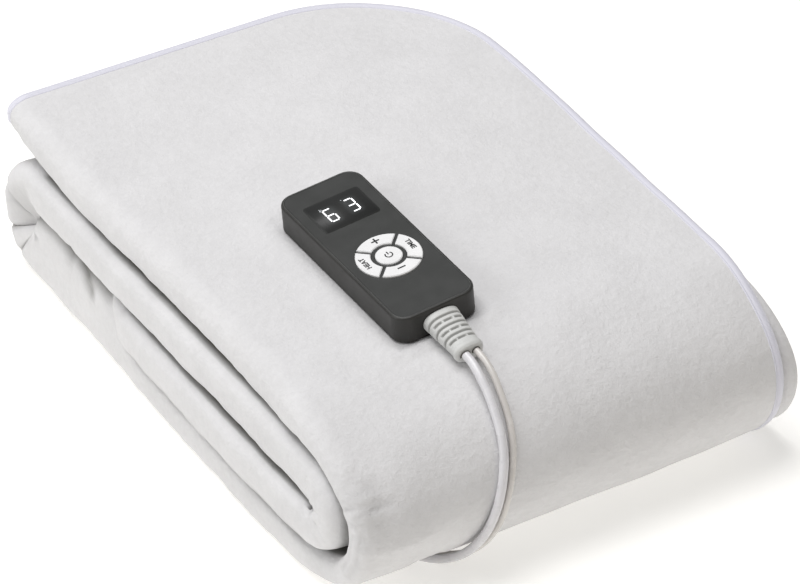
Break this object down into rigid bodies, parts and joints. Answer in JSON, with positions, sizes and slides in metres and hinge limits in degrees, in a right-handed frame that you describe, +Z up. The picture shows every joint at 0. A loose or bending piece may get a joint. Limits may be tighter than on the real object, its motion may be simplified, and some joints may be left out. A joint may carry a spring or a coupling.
{
  "type": "electric heated blanket",
  "caption": "Electric blanket of white fleece, folded to a bundle, with satin edge binding, a dark handset on top and its two leads, the mains lead coiled behind.",
  "frame": {"origin": "bottom centre of the folded bundle, on the surface it lies on", "axes": "+Y along the folded strip, from its round front turn to the free end at the back; +X towards the hems; +Z up"},
  "size_m": [0.3093, 0.5176, 0.1325],
  "materials": {
    "fleece": "brushed fleece, off-white",
    "satin_binding": "satin tape, lavender-white",
    "dark_shell": "charcoal, fine matt",
    "dark_face": "charcoal, satin",
    "display": "dark glossy window",
    "key_white": "white, glossy",
    "grey_relief": "light grey, soft matt",
    "mains_sheath": "white flexible sheath, semi-gloss",
    "thin_sheath": "warm white flexible sheath, semi-gloss",
    "plug_plastic": "white, satin",
    "pin_metal": "plated metal"
  },
  "bodies": {
    "bundle": {"blanket": "fleece", "edge_binding": "satin_binding", "handset_case": "dark_shell", "handset_face": "dark_face", "display_window": "display", "strain_relief": "grey_relief", "mains_lead": "mains_sheath", "blanket_lead": "thin_sheath", "mains_coil": "mains_sheath", "mains_tail": "mains_sheath", "plug_body": "plug_plastic", "plug_pin_left": "pin_metal", "plug_pin_right": "pin_metal"},
    "power_key": {"key_power": "key_white"},
    "plus_key": {"key_plus": "key_white"},
    "minus_key": {"key_minus": "key_white"},
    "heat_key": {"key_heat": "key_white"},
    "time_key": {"key_time": "key_white"}
  },
  "joints": [
    {"name": "power_press", "type": "slide", "parent": "bundle", "child": "power_key", "axis": [0.0871, 0.002, -0.9962], "range_m": [0, 0.0008], "stiffness_N_per_m": 1500, "springref_m": -0.0005},
    {"name": "plus_press", "type": "slide", "parent": "bundle", "child": "plus_key", "axis": [0.0871, 0.002, -0.9962], "range_m": [0, 0.0008], "stiffness_N_per_m": 1500, "springref_m": -0.0005},
    {"name": "minus_press", "type": "slide", "parent": "bundle", "child": "minus_key", "axis": [0.0871, 0.002, -0.9962], "range_m": [0, 0.0008], "stiffness_N_per_m": 1500, "springref_m": -0.0005},
    {"name": "heat_press", "type": "slide", "parent": "bundle", "child": "heat_key", "axis": [0.0871, 0.002, -0.9962], "range_m": [0, 0.0008], "stiffness_N_per_m": 1500, "springref_m": -0.0005},
    {"name": "time_press", "type": "slide", "parent": "bundle", "child": "time_key", "axis": [0.0871, 0.002, -0.9962], "range_m": [0, 0.0008], "stiffness_N_per_m": 1500, "springref_m": -0.0005}
  ]
}
